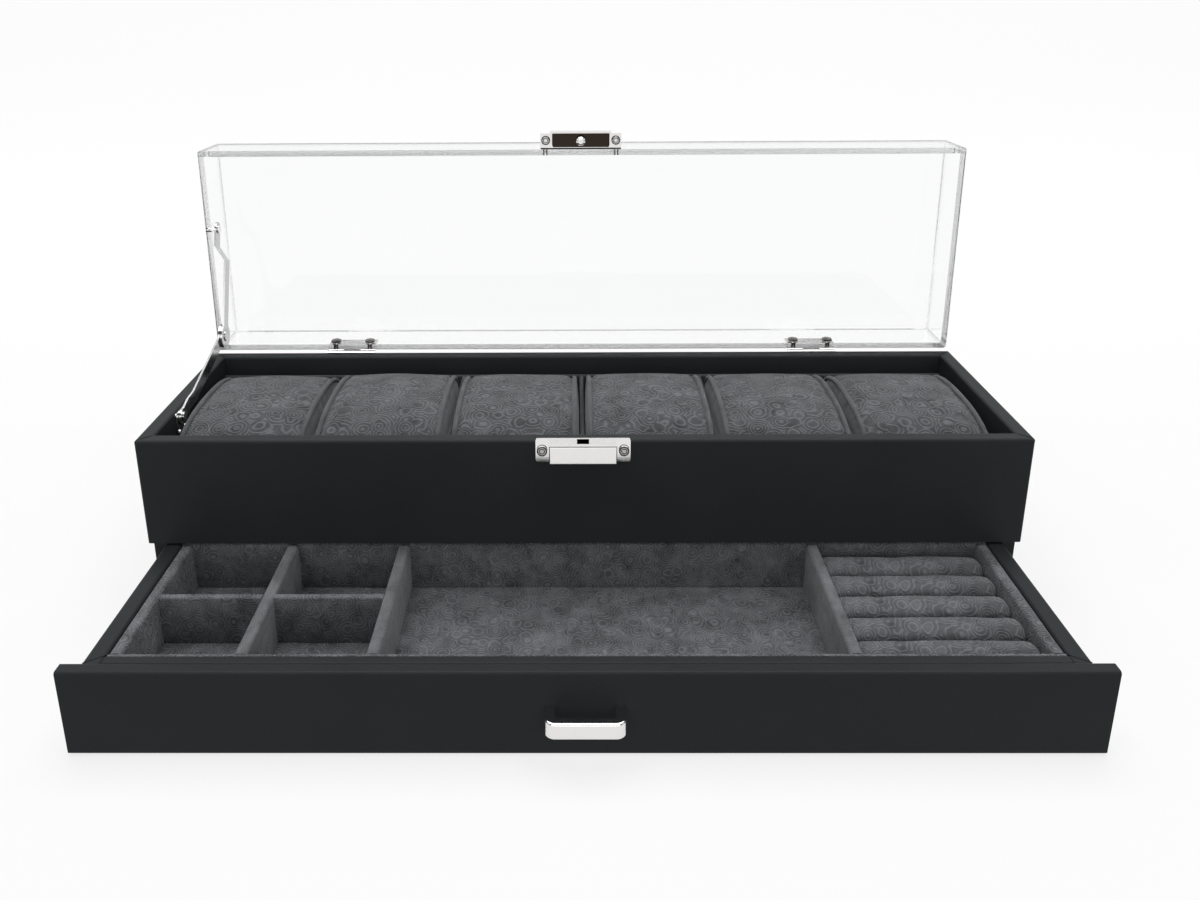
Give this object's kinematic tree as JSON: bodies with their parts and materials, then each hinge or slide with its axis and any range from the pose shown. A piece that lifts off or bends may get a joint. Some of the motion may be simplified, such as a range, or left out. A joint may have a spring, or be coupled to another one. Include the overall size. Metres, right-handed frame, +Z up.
{
  "type": "watch box with drawer",
  "caption": "Long low leatherette watch box: clear hinged lid with folding stay and push latch over suede watch pillows, and a front drawer with suede cells and ring rolls below.",
  "frame": {"origin": "centre of the underside of the case", "axes": "+X the viewer's right along the length, -Y the front with the drawer and the latch, +Z up"},
  "size_m": [0.33, 0.2006, 0.1727],
  "materials": {
    "leatherette": "satin_fine_grain",
    "plated_metal": "polished",
    "screw_steel": "satin",
    "clear_acrylic": "clear_polished",
    "suede_insert": "suede",
    "suede_drawer": "suede",
    "suede_pillow": "embossed_suede",
    "felt": "felt"
  },
  "bodies": {
    "case": {"case_front_wall": "leatherette", "case_rear_wall": "leatherette", "case_side_left": "leatherette", "case_side_right": "leatherette", "base_board": "leatherette", "base_felt": "felt", "tray_floor": "leatherette", "insert_floor": "suede_insert", "insert_front_wall": "suede_insert", "insert_rear_wall": "suede_insert", "slot_dividers": "suede_insert", "hinge_case_leaf_left": "plated_metal", "hinge_case_leaf_right": "plated_metal", "hinge_pins": "screw_steel", "case_screws": "screw_steel", "latch_plate": "plated_metal", "latch_spring": "screw_steel", "stay_bracket": "plated_metal", "stay_bracket_screws": "screw_steel"},
    "latch_pad": {"latch_pad": "plated_metal"},
    "lid": {"lid_top_panel": "clear_acrylic", "lid_front_wall": "clear_acrylic", "lid_rear_wall": "clear_acrylic", "lid_side_left": "clear_acrylic", "lid_side_right": "clear_acrylic", "hinge_lid_leaf_left": "plated_metal", "hinge_lid_leaf_right": "plated_metal", "hinge_lid_screws": "screw_steel", "hinge_lid_nuts": "screw_steel", "lid_latch_housing": "plated_metal", "lid_latch_stud": "plated_metal", "lid_latch_fasteners": "screw_steel", "stay_lid_pin": "plated_metal"},
    "stay_lower_arm": {"stay_lower_arm": "plated_metal"},
    "stay_upper_arm": {"stay_upper_arm": "plated_metal"},
    "drawer": {"drawer_front_panel": "leatherette", "drawer_inner_front": "leatherette", "drawer_side_left": "leatherette", "drawer_side_right": "leatherette", "drawer_rear": "leatherette", "drawer_bottom": "leatherette", "drawer_floor_pad": "suede_drawer", "lining_front": "suede_drawer", "lining_rear": "suede_drawer", "lining_left": "suede_drawer", "lining_right": "suede_drawer", "divider_compartments": "suede_drawer", "divider_rings": "suede_drawer", "divider_column": "suede_drawer", "divider_cross": "suede_drawer", "ring_base": "suede_drawer", "ring_rolls": "suede_drawer", "drawer_handle": "plated_metal", "handle_screws": "screw_steel"},
    "pillow_1": {"pillow_1": "suede_pillow"},
    "pillow_2": {"pillow_2": "suede_pillow"},
    "pillow_3": {"pillow_3": "suede_pillow"},
    "pillow_4": {"pillow_4": "suede_pillow"},
    "pillow_5": {"pillow_5": "suede_pillow"},
    "pillow_6": {"pillow_6": "suede_pillow"}
  },
  "joints": [
    {"name": "lid_hinge", "type": "hinge", "parent": "case", "child": "lid", "pos_m": [0, 0.04675, 0.07345], "axis": [1, 0, 0], "range_deg": [0, 91]},
    {"name": "drawer_slide", "type": "slide", "parent": "case", "child": "drawer", "axis": [0, 1, 0], "range_m": [0, 0.074]},
    {"name": "latch_push", "type": "slide", "parent": "case", "child": "latch_pad", "axis": [0, 1, 0], "range_m": [0, 0.001], "stiffness_N_per_m": 300, "springref_m": -0.002},
    {"name": "stay_lower_pivot", "type": "hinge", "parent": "case", "child": "stay_lower_arm", "pos_m": [-0.1584, -0.0145, 0.0706], "axis": [1, 0, 0], "range_deg": [-4.84, 0]},
    {"name": "stay_upper_pivot", "type": "hinge", "parent": "lid", "child": "stay_upper_arm", "pos_m": [-0.161, 0.05354, 0.12994], "axis": [1, 0, 0], "range_deg": [0, 23.55]},
    {"name": "pillow_1_lift", "type": "slide", "parent": "case", "child": "pillow_1", "axis": [0, 0, 1], "range_m": [0, 0.014]},
    {"name": "pillow_2_lift", "type": "slide", "parent": "case", "child": "pillow_2", "axis": [0, 0, 1], "range_m": [0, 0.014]},
    {"name": "pillow_3_lift", "type": "slide", "parent": "case", "child": "pillow_3", "axis": [0, 0, 1], "range_m": [0, 0.014]},
    {"name": "pillow_4_lift", "type": "slide", "parent": "case", "child": "pillow_4", "axis": [0, 0, 1], "range_m": [0, 0.014]},
    {"name": "pillow_5_lift", "type": "slide", "parent": "case", "child": "pillow_5", "axis": [0, 0, 1], "range_m": [0, 0.014]},
    {"name": "pillow_6_lift", "type": "slide", "parent": "case", "child": "pillow_6", "axis": [0, 0, 1], "range_m": [0, 0.014]}
  ],
  "couplings": [
    {"joint": "stay_lower_pivot", "follows": "lid_hinge", "ratio": -0.053219},
    {"joint": "stay_upper_pivot", "follows": "lid_hinge", "ratio": 0.25875}
  ]
}
